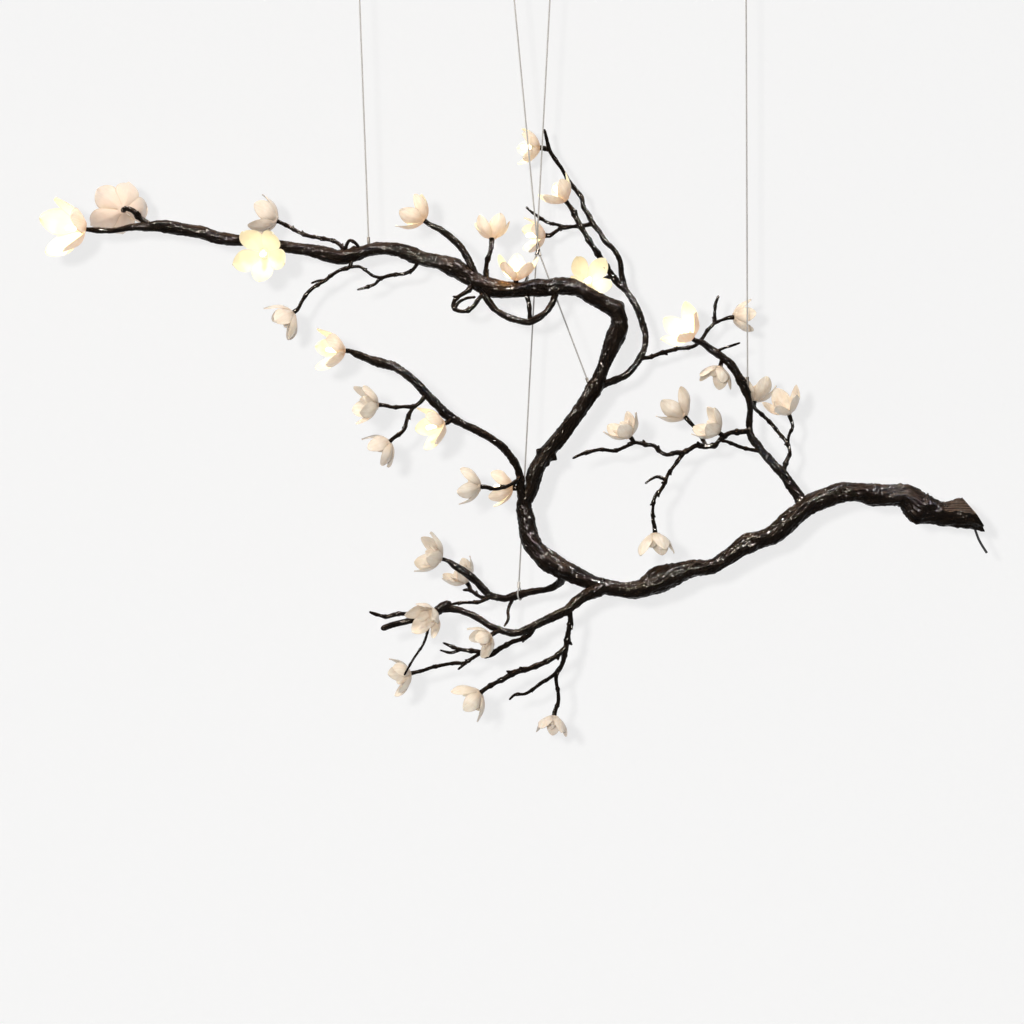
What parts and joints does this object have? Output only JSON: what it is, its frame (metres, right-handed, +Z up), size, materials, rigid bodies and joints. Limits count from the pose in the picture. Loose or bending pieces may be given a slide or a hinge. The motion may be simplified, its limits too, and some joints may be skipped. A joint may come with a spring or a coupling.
{
  "type": "chandelier",
  "caption": "Branch chandelier: a dark bronze branch with white porcelain blossoms, some lit, hung on thin steel cables",
  "frame": {"origin": "centre of the top face of ceiling cup B, the second from the left, on the axis of its tapped hole", "axes": "+X to the right towards the sawn butt of the branch, +Y away from the viewer, +Z up"},
  "size_m": [1.8988, 0.3321, 1.5342],
  "materials": {
    "bronze": "satin",
    "porcelain": "gloss",
    "cable_steel": "satin",
    "dark_steel": "satin",
    "cup_steel": "satin",
    "holder_plastic": "matte",
    "lamp_glass": "gloss",
    "wire": "satin",
    "cord_rubber": "matte",
    "gland_plastic": "matte"
  },
  "bodies": {
    "ceiling": {"ceiling_cups": "cup_steel", "cup_collars": "cup_steel"},
    "chandelier": {"arch_twigs": "bronze", "ball_terminals": "cup_steel", "blossom_01": "porcelain", "blossom_02": "porcelain", "blossom_04": "porcelain", "blossom_06": "porcelain", "blossom_09": "porcelain", "blossom_10": "porcelain", "blossom_11": "porcelain", "blossom_12": "porcelain", "blossom_13": "porcelain", "blossom_14": "porcelain", "blossom_15": "porcelain", "blossom_16": "porcelain", "blossom_17": "porcelain", "blossom_18": "porcelain", "blossom_19": "porcelain", "blossoms_03_05": "porcelain", "blossoms_07_08": "porcelain", "blossoms_20_21": "porcelain", "blossoms_22_23": "porcelain", "blossoms_24_25": "porcelain", "blossoms_26_27": "porcelain", "blossoms_28_29": "porcelain", "blossoms_30_31": "porcelain", "blossoms_32_33_34": "porcelain", "bridle_joint": "dark_steel", "bridle_left": "cable_steel", "bridle_right": "cable_steel", "cable_a": "cable_steel", "cable_b": "cable_steel", "cable_c": "cable_steel", "cable_d": "cable_steel", "cable_studs": "dark_steel", "cord_gland": "gland_plastic", "crimp_ferrule": "dark_steel", "lamp_holders": "holder_plastic", "led_lamps": "lamp_glass", "left_bough": "bronze", "left_twigs": "bronze", "lower_bough": "bronze", "lower_left_bough": "bronze", "lower_twigs": "bronze", "reach_twigs": "bronze", "right_bough": "bronze", "right_twigs": "bronze", "supply_cord": "cord_rubber", "trunk_arch": "bronze", "trunk_bowl": "bronze", "trunk_butt": "bronze", "trunk_crest": "bronze", "trunk_reach": "bronze", "trunk_rise": "bronze", "trunk_sweep": "bronze", "trunk_tip": "bronze", "upper_bough": "bronze", "upper_twigs": "bronze", "wiring_loom": "wire"}
  },
  "joints": [
    {"name": "swing", "type": "hinge", "parent": "ceiling", "child": "chandelier", "pos_m": [0, 0, -0.015], "axis": [1, 0, 0], "range_deg": [-8, 8]}
  ]
}
